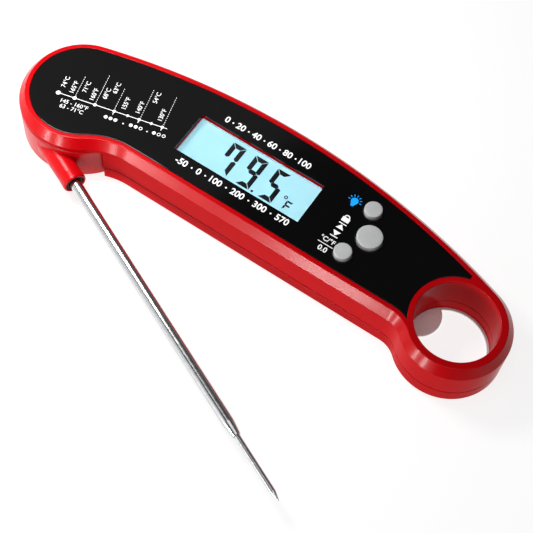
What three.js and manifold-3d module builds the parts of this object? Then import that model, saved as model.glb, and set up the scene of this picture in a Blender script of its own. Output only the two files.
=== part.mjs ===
// Folding digital meat thermometer: a handle with a display and three buttons, a finger-hole ring with a
// bottle-opener plate at one end, and a steel probe on a hub that folds along the handle's lower edge.
// Millimetres. +X runs along the handle from hinge to ring, +Y to its upper edge, +Z out of the display face;
// the origin lies on the flat back.
import * as THREE from 'three';
import { mergeVertices } from 'three/addons/utils/BufferGeometryUtils.js';
import Module from 'manifold-3d';

const wasm = await Module();
wasm.setup();

// ---- handle ----
const THICK = 17.0;          // back to face
const PARTING = 5.5;         // height of the joint between the two shells
const GAP = 0.3;             // clearance between neighbouring pieces
const PIVOT = [-63.6, 0];    // fold axis
const RING = [63.6, -1.65];  // finger-hole axis
const PIVOT_R = 18.6;        // outline radius round the hinge
const RING_R = 16.0;         // outline radius round the finger hole
const HOLE_R = 11.9;
const TOP_R = 230.6;         // long bulging upper edge
const LOWER_Y = -10.9;       // straight lower edge
const NECK_R = 20;           // hollow between the hinge and the lower edge
const HEEL_R = 8;            // hollow between the lower edge and the ring
const BEVEL_IN = 2.0;        // front bevel, measured inwards
const BEVEL_H = 2.9;         // front bevel, measured down
const WALL = 2.2;
const PLATE_Z = 14.4;        // underside of the front plate
const FLOOR = 2.0;           // thickness of the back
const PANEL_INSET = 3.4;
const PANEL_T = 0.45;
const PANEL_RING_R = 13.7;
const WINDOW = { x0: -30.4, x1: 11.5, y0: -0.7, y1: 13.5 };

// ---- hinge and probe ----
const FOLD_ANGLE = -24.5;    // direction of the probe as drawn
const NECK_EDGE_X = -47.6;   // where the lower wall of the shells starts beside the hub
const POCKET_R = 19.1;
const ROOF_Z = 13.0;         // underside of the roof over the hub
const HUB_Z = [0.2, 12.7];
const AXIS_Z = 7.0;          // height of the probe above the back
const AXIS_OFF = 14.57;      // probe axis to fold axis
const ARM_R = 3.45;
const ARM_END = 21.3;        // mouth of the arm, along the probe from the fold axis
const TUBE_R = 1.75;
const NEEDLE_R = 0.85;
const TAPER = [106.3, 110.6];
const TIP_END = 131.3;

// ---- buttons, battery, screws ----
const BUTTONS = [
  { name: 'backlight_button', x: 27.1, y: 14.4, r: 2.6 },
  { name: 'hold_button', x: 30.8, y: 6.3, r: 3.75 },
  { name: 'unit_button', x: 27.0, y: -1.8, r: 2.6 },
];
const BUTTON_TOP = 18.5;
const CELL = { x: -22, y: 8, r: 10, h: 3.2 };
const DOOR = { flange: 14.0, neck: 11.7, pad: 3.0 };
const SCREWS = [[-39.5, 17.2], [-39.5, -4.6], [40, 12.6], [40, -4.6]];
const MAGNETS = [[13, 13], [30, 5]];
const TONGUE = { x: 51.8, y: 2.4, r: 7.0 };
const RIVETS = [[47.2, 4.9], [47.2, -0.2]];
const PCB_Z = [8.6, 9.6];

const rad = (deg) => deg * Math.PI / 180;

// ---------- solids ----------
function toSolid(geometry) {
  const bare = geometry.clone();
  for (const key of Object.keys(bare.attributes)) if (key !== 'position') bare.deleteAttribute(key);
  const g = mergeVertices(bare, 1e-4);
  const index = g.index ? g.index.array : Uint32Array.from({ length: g.attributes.position.count }, (_, i) => i);
  return new wasm.Manifold(new wasm.Mesh({
    numProp: 3, vertProperties: new Float32Array(g.attributes.position.array), triVerts: new Uint32Array(index),
  }));
}
function toGeometry(manifold) {
  const m = manifold.getMesh();
  const g = new THREE.BufferGeometry();
  g.setAttribute('position', new THREE.BufferAttribute(new Float32Array(m.vertProperties), 3));
  g.setIndex(new THREE.BufferAttribute(new Uint32Array(m.triVerts), 1));
  return g;
}
// stacked outlines with the same number of points, closed at both ends
function loft(levels) {
  const n = levels[0].pts.length;
  const pos = [];
  const idx = [];
  for (const { pts, z } of levels) for (const [x, y] of pts) pos.push(x, y, z);
  for (let k = 0; k + 1 < levels.length; k++) {
    for (let i = 0; i < n; i++) {
      const j = (i + 1) % n;
      const [a, b, c, d] = [k * n + i, k * n + j, (k + 1) * n + j, (k + 1) * n + i];
      idx.push(a, b, c, a, c, d);
    }
  }
  const cap = (pts) => THREE.ShapeUtils.triangulateShape(pts.map(([x, y]) => new THREE.Vector2(x, y)), []);
  for (const [a, b, c] of cap(levels[0].pts)) idx.push(a, c, b);
  const last = (levels.length - 1) * n;
  for (const [a, b, c] of cap(levels[levels.length - 1].pts)) idx.push(last + a, last + b, last + c);
  const g = new THREE.BufferGeometry();
  g.setAttribute('position', new THREE.Float32BufferAttribute(pos, 3));
  g.setIndex(idx);
  return toSolid(g);
}
const prism = (pts, z0, z1) => loft([{ pts, z: z0 }, { pts, z: z1 }]);
function cyl(x, y, r, z0, z1, segments = 40) {
  const g = new THREE.CylinderGeometry(r, r, z1 - z0, segments);
  g.rotateX(Math.PI / 2);
  g.translate(x, y, (z0 + z1) / 2);
  return toSolid(g);
}
const tube = (x, y, rOut, rIn, z0, z1, segments = 40) =>
  cyl(x, y, rOut, z0, z1, segments).subtract(cyl(x, y, rIn, z0 - 1, z1 + 1, segments));
function box(x0, x1, y0, y1, z0, z1) {
  const g = new THREE.BoxGeometry(x1 - x0, y1 - y0, z1 - z0);
  g.translate((x0 + x1) / 2, (y0 + y1) / 2, (z0 + z1) / 2);
  return toSolid(g);
}
// profile of [radius, height] pairs turned about Z
function turned(profile, x = 0, y = 0, segments = 40) {
  const g = new THREE.LatheGeometry(profile.map(([r, z]) => new THREE.Vector2(r, z)), segments);
  g.rotateX(Math.PI / 2);
  g.translate(x, y, 0);
  return toSolid(g);
}
function ringSeal(x, y, rMid, rCord, z, segments = 40) {
  const g = new THREE.TorusGeometry(rMid, rCord, 6, segments);
  g.translate(x, y, z);
  return toSolid(g);
}
function roundedRect(x0, x1, y0, y1, r, n = 4) {
  const pts = [];
  const corners = [[x1 - r, y0 + r, -90], [x1 - r, y1 - r, 0], [x0 + r, y1 - r, 90], [x0 + r, y0 + r, 180]];
  for (const [cx, cy, a] of corners) {
    for (let i = 0; i <= n; i++) {
      const t = rad(a + 90 * i / n);
      pts.push([cx + r * Math.cos(t), cy + r * Math.sin(t)]);
    }
  }
  return pts;
}

// ---------- handle outline ----------
function arc(cx, cy, r, a0, a1, n, open = false) {
  const pts = [];
  for (let i = 0; i < n + (open ? 0 : 1); i++) {
    const t = a0 + (a1 - a0) * i / n;
    pts.push([cx + r * Math.cos(t), cy + r * Math.sin(t)]);
  }
  return pts;
}
// centre of the long upper arc, which touches both end circles from outside
function topCentre() {
  const [x1, y1] = PIVOT;
  const [x2, y2] = RING;
  const [ra, rb] = [TOP_R - PIVOT_R, TOP_R - RING_R];
  const d = Math.hypot(x2 - x1, y2 - y1);
  const a = (ra * ra - rb * rb + d * d) / (2 * d);
  const h = Math.sqrt(ra * ra - a * a);
  const [ux, uy] = [(x2 - x1) / d, (y2 - y1) / d];
  return [x1 + a * ux + h * uy, y1 + a * uy - h * ux];
}
const TOP = topCentre();
const NECK = [PIVOT[0] + Math.sqrt((PIVOT_R + NECK_R) ** 2 - (LOWER_Y - NECK_R - PIVOT[1]) ** 2), LOWER_Y - NECK_R];
const HEEL = [RING[0] - Math.sqrt((RING_R + HEEL_R) ** 2 - (LOWER_Y - HEEL_R - RING[1]) ** 2), LOWER_Y - HEEL_R];
// the handle outline moved inwards by d, counter-clockwise
function outline(d) {
  const heelEnd = Math.atan2(RING[1] - HEEL[1], RING[0] - HEEL[0]);
  const neckStart = Math.atan2(PIVOT[1] - NECK[1], PIVOT[0] - NECK[0]);
  const topStart = Math.atan2(RING[1] - TOP[1], RING[0] - TOP[0]);
  const topEnd = Math.atan2(PIVOT[1] - TOP[1], PIVOT[0] - TOP[0]);
  return [
    ...arc(HEEL[0], HEEL[1], HEEL_R + d, Math.PI / 2, heelEnd, 5, true),
    ...arc(RING[0], RING[1], RING_R - d, heelEnd - Math.PI, topStart, 24, true),
    ...arc(TOP[0], TOP[1], TOP_R - d, topStart, topEnd, 12, true),
    ...arc(PIVOT[0], PIVOT[1], PIVOT_R - d, topEnd, neckStart + Math.PI, 26, true),
    ...arc(NECK[0], NECK[1], NECK_R + d, neckStart, Math.PI / 2, 6),
  ];
}

// ---------- probe line: s along the probe, measured from the foot of the fold axis ----------
function alongProbe(solidAlongZ) {
  const a = rad(FOLD_ANGLE);
  const foot = new THREE.Vector3(PIVOT[0] + AXIS_OFF * Math.sin(a), PIVOT[1] - AXIS_OFF * Math.cos(a), AXIS_Z);
  const g = toGeometry(solidAlongZ);
  g.rotateY(Math.PI / 2);
  g.rotateZ(a);
  g.translate(foot.x, foot.y, foot.z);
  return toSolid(g);
}

// ---------- shells ----------
function cavity(z0, z1) {
  return prism(outline(WALL), z0, z1)
    .subtract(cyl(PIVOT[0], PIVOT[1], POCKET_R + 1.9, z0 - 1, z1 + 1, 40))
    .subtract(cyl(RING[0], RING[1], 14.6, z0 - 1, z1 + 1, 32));
}
const hubPocket = (z1) => cyl(PIVOT[0], PIVOT[1], POCKET_R, -1, z1, 52);
// the thin end of the lower wall beside the hub is left off, which lets the arm fold close to the handle
const neckTrim = () => box(NECK_EDGE_X - 12, NECK_EDGE_X, LOWER_Y - 9, LOWER_Y + 1.9, -1, ROOF_Z);
const fingerHole = () => cyl(RING[0], RING[1], HOLE_R, -1, THICK + 1, 40);

function frontShell() {
  let s = loft([
    { pts: outline(0), z: PARTING },
    { pts: outline(0), z: THICK - BEVEL_H },
    { pts: outline(BEVEL_IN), z: THICK },
  ]);
  s = s.subtract(cavity(PARTING - 1, PLATE_Z)).subtract(hubPocket(ROOF_Z));
  s = s.subtract(neckTrim()).subtract(fingerHole());
  s = s.subtract(panelBlank(0.15, THICK - PANEL_T - GAP, THICK + 1));
  s = s.subtract(box(WINDOW.x0, WINDOW.x1, WINDOW.y0, WINDOW.y1, PLATE_Z - 1, THICK + 1));
  for (const b of BUTTONS) s = s.subtract(cyl(b.x, b.y, b.r + GAP, PLATE_Z - 1, THICK + 1, 24));
  for (const [x, y] of SCREWS) {
    s = s.add(cyl(x, y, 3.0, PARTING, PLATE_Z + 0.6, 16)).subtract(cyl(x, y, 1.4, PARTING - 1, 12.2, 12));
  }
  s = s.add(cyl(PIVOT[0], PIVOT[1], 3.6, 3.9, ROOF_Z + 0.6, 36));
  s = s.subtract(cyl(PIVOT[0], PIVOT[1], 1.4, 3, 10.6, 20));
  return s;
}
function backShell() {
  const top = PARTING - GAP;
  let s = loft([
    { pts: outline(0.6), z: 0 },
    { pts: outline(0), z: 0.6 },
    { pts: outline(0), z: top },
  ]);
  s = s.subtract(cavity(FLOOR, top + 1)).subtract(hubPocket(top + 1));
  s = s.subtract(neckTrim()).subtract(fingerHole());
  // battery well: raised pad, seal groove, bayonet opening with two notches
  s = s.add(cyl(CELL.x, CELL.y, 15.4, 0.8, DOOR.pad, 36));
  s = s.subtract(cyl(CELL.x, CELL.y, DOOR.flange + GAP, -1, 1.0, 36));
  s = s.subtract(tube(CELL.x, CELL.y, 13.75, 12.45, 0.5, 1.95, 36));
  s = s.subtract(cyl(CELL.x, CELL.y, DOOR.neck + GAP, -1, DOOR.pad + 1, 36));
  for (const turn of [0, 180]) s = s.subtract(lug(turn + 60, 13.3, 0.5, DOOR.pad + 1, 34));
  // opener plate seat
  s = s.subtract(cyl(RING[0], RING[1], 14.3, -1, 1.05, 36));
  s = s.subtract(cyl(TONGUE.x, TONGUE.y, TONGUE.r + GAP, -1, 1.05, 28));
  for (const [x, y] of RIVETS) s = s.subtract(cyl(x, y, 1.1, 0, 4.0, 12));
  for (const [x, y] of MAGNETS) s = s.subtract(cyl(x, y, 4.8, 0.8, FLOOR + 1, 20));
  for (const [x, y] of SCREWS) {
    s = s.add(cyl(x, y, 3.4, 0.2, top, 16)).subtract(cyl(x, y, 2.7, -1, 1.5, 18));
    s = s.subtract(cyl(x, y, 1.4, -1, top + 1, 12));
  }
  return s;
}
// a sector about the battery axis
function lug(turn, r, z0, z1, width) {
  const c = rad(turn);
  const h = rad(width / 2);
  const inner = DOOR.neck - 0.8;
  const pts = [...arc(CELL.x, CELL.y, r, c - h, c + h, 6), ...arc(CELL.x, CELL.y, inner, c + h, c - h, 4)];
  return prism(pts, z0, z1);
}
function panelBlank(grow, z0, z1) {
  let s = prism(outline(PANEL_INSET - grow), z0, z1);
  s = s.subtract(cyl(RING[0], RING[1], PANEL_RING_R - grow, z0 - 1, z1 + 1, 40));
  // the pointed corners the ring leaves above and below are blunted
  return s.subtract(box(RING[0] - 3.5 + grow, 100, -40, 40, z0 - 1, z1 + 1));
}
function labelPanel() {
  let s = panelBlank(0, THICK - PANEL_T, THICK);
  s = s.subtract(box(WINDOW.x0, WINDOW.x1, WINDOW.y0, WINDOW.y1, THICK - 2, THICK + 1));
  for (const b of BUTTONS) s = s.subtract(cyl(b.x, b.y, b.r + GAP, THICK - 2, THICK + 1, 24));
  return s;
}
function shellGasket() {
  const at = (d, z0, z1) => prism(outline(d), z0, z1)
    .subtract(cyl(PIVOT[0], PIVOT[1], POCKET_R + 1.9 + d - WALL, z0 - 1, z1 + 1, 40))
    .subtract(cyl(RING[0], RING[1], 14.6 + d - WALL, z0 - 1, z1 + 1, 32));
  const loop = at(WALL + GAP, 4.3, 6.6).subtract(at(WALL + GAP + 0.8, 4, 7));
  let s = loop;
  for (const [x, y] of SCREWS) s = s.subtract(cyl(x, y, 3.7, 4, 7, 28));
  return s.decompose().reduce((a, b) => (a.volume() > b.volume() ? a : b));
}

// ---------- display ----------
const displayWindow = () => prism(
  roundedRect(WINDOW.x0 + GAP, WINDOW.x1 - GAP, WINDOW.y0 + GAP, WINDOW.y1 - GAP, 0.3, 2), 14.7, 15.7);
const lcdGlass = () => box(-32.6, 13.7, -3.2, 15.4, 13.2, 14.1);
const lcdBacklight = () => box(-31.6, 12.7, -1.4, 14.2, 11.4, 12.6);
function lcdFrame() {
  const outer = prism(roundedRect(-34.2, 15.3, -4.8, 17.0, 0.8, 2), 10.4, 14.1);
  return outer.subtract(box(-32.9, 14.0, -3.5, 15.7, 12.9, 15)).subtract(box(-32.0, 13.1, -2.9, 14.6, 9, 15));
}
const lcdConnector = () => box(-29, 10, -2.6, -1.8, 9.9, 12.9);

// ---------- electronics ----------
function circuitBoard() {
  let s = prism(roundedRect(-35.6, 35.6, -7.6, 17.4, 1.0, 2), PCB_Z[0], PCB_Z[1]);
  for (const [x, y] of [[-33.5, 15.2], [33.5, 15.4], [33.5, -5.6], [-33.5, -5.6]]) {
    s = s.subtract(cyl(x, y, 0.9, 8, 10, 16));
  }
  return s;
}
const controllerChip = () => box(0, 7, 4, 11, PCB_Z[0] - GAP - 1.2, PCB_Z[0] - GAP);
function tactSwitch(b) {
  return box(b.x - 2.25, b.x + 2.25, b.y - 2.25, b.y + 2.25, 9.9, 11.0).add(cyl(b.x, b.y, 1.0, 10.8, 11.5, 20));
}
const reedSensor = () => toSolid(new THREE.CylinderGeometry(0.9, 0.9, 10, 16).translate(-33.6, 5, 7.3));

// ---------- battery ----------
const coinCell = () => turned([
  [0, 1.7], [8.4, 1.7], [8.6, 1.9], [9.9, 1.9], [10, 2.1], [10, 4.7], [9.8, 4.9], [0, 4.9],
], CELL.x, CELL.y, 32);
function contactNeg() {
  const leaf = box(CELL.x - 7, CELL.x + 5, CELL.y - 1.6, CELL.y + 1.6, 5.2, 5.5);
  const foot = box(CELL.x + 4.7, CELL.x + 5, CELL.y - 1.6, CELL.y + 1.6, 5.2, 8.3);
  const tab = box(CELL.x + 4.7, CELL.x + 7, CELL.y - 1.6, CELL.y + 1.6, 8.0, 8.3);
  return leaf.add(foot).add(tab);
}
function contactPos() {
  const bow = box(CELL.x - 3, CELL.x + 3, CELL.y + 10.3, CELL.y + 10.6, 4.5, 8.3);
  const lip = box(CELL.x - 3, CELL.x + 3, CELL.y + 7.8, CELL.y + 10.6, 5.2, 5.5);
  const tab = box(CELL.x - 3, CELL.x + 3, CELL.y + 7.2, CELL.y + 10.6, 8.0, 8.3);
  return bow.add(lip).add(tab);
}
function batteryDoor() {
  let s = turned([
    [0, 0.05], [DOOR.flange - 0.3, 0.05], [DOOR.flange, 0.35], [DOOR.flange, 0.7], [DOOR.neck, 0.7],
    [DOOR.neck, 4.1], [10.5, 4.1], [10.5, 1.35], [0, 1.35],
  ], CELL.x, CELL.y, 36);
  for (const turn of [0, 180]) s = s.add(lug(turn, 13.0, 3.3, 4.1, 28));
  const slot = prism(roundedRect(CELL.x - 7, CELL.x + 7, CELL.y - 1.1, CELL.y + 1.1, 1.05, 4), -1, 0.75);
  return s.subtract(slot);
}
const doorSeal = () => ringSeal(CELL.x, CELL.y, 13.1, 0.4, 1.3, 32);

// ---------- ring end ----------
function rivet([x, y]) {
  return turned([[0, 0.12], [1.7, 0.12], [0.8, 0.95], [0.8, 3.7], [0, 3.7]], x, y, 16);
}
function openerPlate() {
  let s = cyl(RING[0], RING[1], 14.0, 0.08, 0.75, 36);
  s = s.subtract(cyl(RING[0], RING[1], 11.3, -1, 2, 36)).add(cyl(TONGUE.x, TONGUE.y, TONGUE.r, 0.08, 0.75, 28));
  for (const [x, y] of RIVETS) {
    s = s.subtract(turned([[0, -0.3], [2.4, -0.3], [1.05, 0.95], [1.05, 1.2], [0, 1.2]], x, y, 24));
  }
  return s;
}
function shellScrew([x, y]) {
  const head = turned([[0, 0.2], [2.0, 0.2], [2.4, 0.5], [2.4, 1.2], [1.1, 1.2], [1.1, 11.2], [0, 11.8]], x, y, 16);
  const cross = box(x - 1.4, x + 1.4, y - 0.3, y + 0.3, -1, 0.8).add(box(x - 0.3, x + 0.3, y - 1.4, y + 1.4, -1, 0.8));
  return head.subtract(cross);
}

// ---------- hinge ----------
const pivotBushing = () => tube(PIVOT[0], PIVOT[1], 5.0, 3.9, 4.3, 12.6, 24);
const pivotWasher = () => tube(PIVOT[0], PIVOT[1], 7.4, 1.5, 3.1, 3.6, 24);
function pivotScrew() {
  const [x, y] = PIVOT;
  const s = turned([[0, 1.8], [3.0, 1.8], [3.4, 2.1], [3.4, 2.8], [1.1, 2.8], [1.1, 9.6], [0, 10.2]], x, y, 18);
  const cross = box(x - 1.8, x + 1.8, y - 0.35, y + 0.35, 1, 2.4).add(box(x - 0.35, x + 0.35, y - 1.8, y + 1.8, 1, 2.4));
  return s.subtract(cross);
}
function armBody() {
  const [x, y] = PIVOT;
  let s = turned([
    [0, HUB_Z[0]], [PIVOT_R - 0.5, HUB_Z[0]], [PIVOT_R, HUB_Z[0] + 0.5], [PIVOT_R, HUB_Z[1] - 1.0],
    [PIVOT_R - 0.3, HUB_Z[1] - 0.3], [PIVOT_R - 1.0, HUB_Z[1]], [0, HUB_Z[1]],
  ], x, y, 52);
  s = s.add(alongProbe(turned([
    [0, -2], [ARM_R + 0.1, -2], [ARM_R + 0.1, 12], [ARM_R, ARM_END - 2.2], [ARM_R + 0.08, ARM_END - 0.6],
    [ARM_R - 0.3, ARM_END], [0, ARM_END],
  ], 0, 0, 24)));
  s = s.subtract(tube(x, y, 15.6, 8.0, 5.4, 14, 36));
  s = s.subtract(alongProbe(cyl(0, 0, TUBE_R + GAP, -4, ARM_END + 1, 18)));
  s = s.subtract(alongProbe(turned([
    [0, ARM_END - 2.4], [2.85, ARM_END - 2.4], [2.85, ARM_END - 0.3], [3.0, ARM_END + 1], [0, ARM_END + 1],
  ], 0, 0, 28)));
  s = s.subtract(cyl(x, y, 5.3, -1, 14, 24)).subtract(cyl(x, y, 8.3, -1, 4.0, 32));
  return s.subtract(tube(x, y, 7.4, 6.2, 11.6, 14, 24));
}
function hubCover() {
  return tube(PIVOT[0], PIVOT[1], 15.3, 8.3, 11.3, 12.5, 36);
}
const hubSeal = () => ringSeal(PIVOT[0], PIVOT[1], 6.8, 0.42, 12.2, 24);
const hubMagnet = () => cyl(PIVOT[0] + 11.6, PIVOT[1] + 2, 2.0, 5.7, 7.7, 28);
function hubCap() {
  const [x, y] = PIVOT;
  return turned([[0, 0.25], [7.5, 0.25], [8.0, 0.6], [8.0, 1.4], [0, 1.4]], x, y, 32);
}
const probeCollar = () => alongProbe(turned([
  [2.02, ARM_END - 2.1], [2.55, ARM_END - 2.1], [2.55, ARM_END - 0.5], [2.3, ARM_END - 0.25],
  [2.02, ARM_END - 0.4], [2.02, ARM_END - 2.1],
], 0, 0, 18));
const probeTube = () => alongProbe(turned([
  [1.3, 2], [TUBE_R, 2], [TUBE_R, TAPER[0]], [TUBE_R - 0.12, TAPER[0] + 0.5], [NEEDLE_R + 0.42, TAPER[1] - 0.4],
  [NEEDLE_R + 0.3, TAPER[1]], [NEEDLE_R + 0.2, TAPER[1]], [NEEDLE_R + 0.2, TAPER[0] - 0.6], [1.3, TAPER[0] - 1.6], [1.3, 2],
], 0, 0, 18));
const probeTip = () => alongProbe(turned([
  [0.45, TAPER[0] - 0.4], [NEEDLE_R, TAPER[0] - 0.4], [NEEDLE_R, TIP_END - 2.3], [NEEDLE_R - 0.1, TIP_END - 1.9],
  [0.1, TIP_END - 0.1], [0, TIP_END], [0, TIP_END - 3.2], [0.45, TIP_END - 3.6], [0.45, TAPER[0] - 0.4],
], 0, 0, 18));
const sensorBead = () => alongProbe(cyl(0, 0, 0.2, TIP_END - 6.5, TIP_END - 4.0, 12));
const sensorLead = () => alongProbe(cyl(0, 0, 0.2, -1.5, TIP_END - 6.9, 12));

// ---------- buttons ----------
function button(b) {
  const r = b.r;
  return turned([
    [0, 12.4], [1.5, 12.4], [1.5, 13.1], [r + 0.7, 13.1], [r + 0.7, 14.0], [r, 14.0], [r, BUTTON_TOP - 0.75],
    [r - 0.15, BUTTON_TOP - 0.4], [r - 0.45, BUTTON_TOP - 0.18], [r - 1.1, BUTTON_TOP - 0.05], [0, BUTTON_TOP],
  ], b.x, b.y, 24);
}

// ---------- assembly ----------
const finish = {
  red: [0xc4101a, 0.28, 0], black: [0x080808, 0.12, 0], clear: [0xd8eef2, 0.05, 0], lcd: [0xbbf3fc, 0.25, 0],
  white: [0xe8e8e4, 0.5, 0], board: [0x0d5c32, 0.55, 0], chip: [0x151515, 0.5, 0], rubber: [0x202224, 0.85, 0],
  grey: [0xaaacb0, 0.6, 0], steel: [0xb8babc, 0.22, 1], nickel: [0xcfcfc8, 0.3, 1], brass: [0xb48a3c, 0.35, 1],
  magnet: [0x8e9094, 0.4, 1], lead: [0xb8442e, 0.6, 0],
};
const group = new THREE.Group();
group.name = 'folding_meat_thermometer';
function place(name, solid, kind) {
  const [color, roughness, metalness] = finish[kind];
  const geometry = toGeometry(solid);
  geometry.computeVertexNormals();
  const mesh = new THREE.Mesh(geometry, new THREE.MeshStandardMaterial({ color, roughness, metalness }));
  mesh.material.name = `${name}_finish`;
  mesh.name = name;
  group.add(mesh);
}

place('front_shell', frontShell(), 'red');
place('back_shell', backShell(), 'red');
place('shell_gasket', shellGasket(), 'rubber');
place('label_panel', labelPanel(), 'black');
place('display_window', displayWindow(), 'clear');
place('lcd_glass', lcdGlass(), 'lcd');
place('lcd_backlight', lcdBacklight(), 'white');
place('lcd_frame', lcdFrame(), 'white');
place('lcd_connector', lcdConnector(), 'grey');
place('circuit_board', circuitBoard(), 'board');
place('controller_chip', controllerChip(), 'chip');
BUTTONS.forEach((b, i) => place(`tact_switch_${i + 1}`, tactSwitch(b), 'chip'));
place('reed_sensor', reedSensor(), 'clear');
place('coin_cell', coinCell(), 'nickel');
place('battery_contact_pos', contactPos(), 'nickel');
place('battery_contact_neg', contactNeg(), 'nickel');
place('door_seal', doorSeal(), 'rubber');
place('opener_plate', openerPlate(), 'steel');
RIVETS.forEach((p, i) => place(`opener_rivet_${i + 1}`, rivet(p), 'steel'));
MAGNETS.forEach(([x, y], i) => place(`back_magnet_${i + 1}`, cyl(x, y, 4.5, 1.1, 2.7, 20), 'magnet'));
SCREWS.forEach((p, i) => place(`shell_screw_${i + 1}`, shellScrew(p), 'nickel'));
place('pivot_bushing', pivotBushing(), 'brass');
place('pivot_washer', pivotWasher(), 'nickel');
place('pivot_screw', pivotScrew(), 'nickel');
place('battery_door', batteryDoor(), 'red');
for (const b of BUTTONS) place(b.name, button(b), 'grey');
place('arm_body', armBody(), 'red');
place('hub_cover', hubCover(), 'red');
place('hub_seal', hubSeal(), 'rubber');
place('hub_magnet', hubMagnet(), 'magnet');
place('hub_cap', hubCap(), 'red');
place('probe_collar', probeCollar(), 'rubber');
place('probe_tube', probeTube(), 'steel');
place('probe_tip', probeTip(), 'steel');
place('sensor_bead', sensorBead(), 'magnet');
place('sensor_lead', sensorLead(), 'lead');

export default group;
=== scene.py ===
"""Looks of a folding digital meat thermometer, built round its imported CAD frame.

Shapes are made in millimetres and turned to metres when a piece is finished. +X runs along the handle from
the hinge to the finger ring, +Y to its upper edge and +Z out of the display face.
"""

import math

import bmesh
import bpy
from mathutils import Matrix, Vector


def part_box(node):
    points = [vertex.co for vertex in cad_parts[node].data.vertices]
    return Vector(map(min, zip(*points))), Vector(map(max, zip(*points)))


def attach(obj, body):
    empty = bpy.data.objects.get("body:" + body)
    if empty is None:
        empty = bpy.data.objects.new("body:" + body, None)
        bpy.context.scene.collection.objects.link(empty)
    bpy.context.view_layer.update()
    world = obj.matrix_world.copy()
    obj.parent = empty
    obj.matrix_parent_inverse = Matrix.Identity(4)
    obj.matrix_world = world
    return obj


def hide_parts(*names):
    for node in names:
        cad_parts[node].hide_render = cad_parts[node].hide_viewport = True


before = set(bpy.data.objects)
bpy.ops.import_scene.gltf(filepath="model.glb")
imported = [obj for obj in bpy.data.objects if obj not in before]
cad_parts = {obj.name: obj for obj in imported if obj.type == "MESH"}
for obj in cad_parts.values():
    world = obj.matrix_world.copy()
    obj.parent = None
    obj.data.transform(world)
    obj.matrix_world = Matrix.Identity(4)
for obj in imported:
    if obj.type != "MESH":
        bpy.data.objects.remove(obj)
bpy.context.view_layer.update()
MM = 0.001

# ---- sizes, in millimetres


def box_mm(node):
    """The lowest and highest corner of a CAD node."""
    low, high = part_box(node)
    return low / MM, high / MM


def centre_mm(node):
    """The middle of a CAD node, seen from above."""
    low, high = box_mm(node)
    return ((low.x + high.x) / 2, (low.y + high.y) / 2)


# the handle: its outline, its two shells and the label panel let into its face
GAP = 0.3
THICK = box_mm("label_panel")[1].z
BACK_TOP = box_mm("back_shell")[1].z
PARTING = BACK_TOP + GAP
PIVOT = centre_mm("pivot_bushing")
RING = (63.6, -1.65)
PIVOT_R, RING_R, HOLE_R = 18.6, 16.0, 11.9
TOP_R, LOWER_Y, NECK_R, HEEL_R = 230.6, -10.9, 20.0, 8.0
BEVEL_IN, BEVEL_H, WALL = 2.0, 2.9, 2.2
SHELL_IN = 3.0  # how far inside the outline the shells' edge profiles begin
PLATE_Z, FLOOR_T = 14.4, 2.0
POCKET_R, POCKET_WALL, ROOF_Z = 19.1, 1.9, 13.0  # the round pocket that the hub turns in
RING_LAND_R = 14.6
NECK_EDGE_X = -47.6
PANEL_INSET, PANEL_T, PANEL_RING_R = 3.4, 0.45, 13.7
PANEL_END_X = RING[0] - 3.5
SEAT_PLAY = 0.12  # room round the panel in its seat, and the rounding of the seat's rim
WINDOW = (-30.4, 11.5, -0.7, 13.5)  # its x range, then its y range
FAR_X, FAR_Y = 100, 40  # past the object
ROOT = 0.6  # how far a pillar runs into what it stands on

# the hub, the arm and the probe, whose lengths are along the probe's own axis
PROBE_ANGLE = -24.5
AXIS_Z, AXIS_OFF = 7.0, 14.57  # the probe's height, and its distance from the fold axis
HUB_Z0, HUB_Z1, HUB_FLOOR_Z = 0.2, 12.7, 5.4
HUB_RIM_R, HUB_CORE_R, BUSH_R = 15.6, 8.0, 5.3
PIVOT_BOSS_R, PIVOT_BOSS_Z, PIVOT_BORE_END = 3.6, 3.9, 10.6
ARM_R, ARM_END, MOUTH_R = 3.45, 21.3, 2.85
TUBE_R, TUBE_BORE_R, NEEDLE_R, NEEDLE_BORE_R = 1.75, 1.3, 0.85, 0.45
TAPER_START, TAPER_END, TIP_END = 106.3, 110.6, 131.3

# buttons, battery door, fasteners and the opener plate
BUTTONS = {"backlight_button": 2.6, "hold_button": 3.75, "unit_button": 2.6}  # radii
STEM_R, STEM_Z, SKIRT_OUT, SKIRT_Z0, SKIRT_Z1 = 1.5, 12.4, 0.7, 13.1, 14.0
CELL = centre_mm("coin_cell")
DOOR_R, DOOR_NECK_R, DOOR_BORE_R, DOOR_END_Z = 14.0, 11.7, 10.5, 4.1
DOOR_OPEN_TURN = 60  # from shut to where the lugs meet their notches
LUG_R, LUG_ROOT_R, LUG_WIDTH = 13.0, DOOR_NECK_R - 0.8, 28
LUG_TURNS = (0, 180)
MARK_DEPTH = 0.25
SCREW_NODES = [f"shell_screw_{i}" for i in range(1, 5)]
SCREW_R, SCREW_HEAD_R = 1.1, 2.4
SCREW_BORE_R, SCREW_BORE_END, SCREW_BOSS_R = 1.4, 12.2, 3.0
RIVET_NODES = ["opener_rivet_1", "opener_rivet_2"]
RIVET_R, RIVET_HEAD_R = 0.8, 1.7
MAGNET_NODES, MAGNET_R = ["back_magnet_1", "back_magnet_2"], 4.5
PLATE_R, PLATE_HOLE_R, PLATE_SEAT = 14.0, 11.3, 1.05
TONGUE_AT, TONGUE_R = (51.8, 2.4), 7.0

# ---- plane curves


def polar(cx, cy, r, t):
    """The point of a circle at angle t in radians."""
    return cx + r * math.cos(t), cy + r * math.sin(t)


def arc(cx, cy, r, a0, a1, steps, whole=True):
    """Points on a circle from angle a0 to a1 in radians."""
    count = steps + 1 if whole else steps
    return [polar(cx, cy, r, a0 + (a1 - a0) * i / steps) for i in range(count)]


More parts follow.
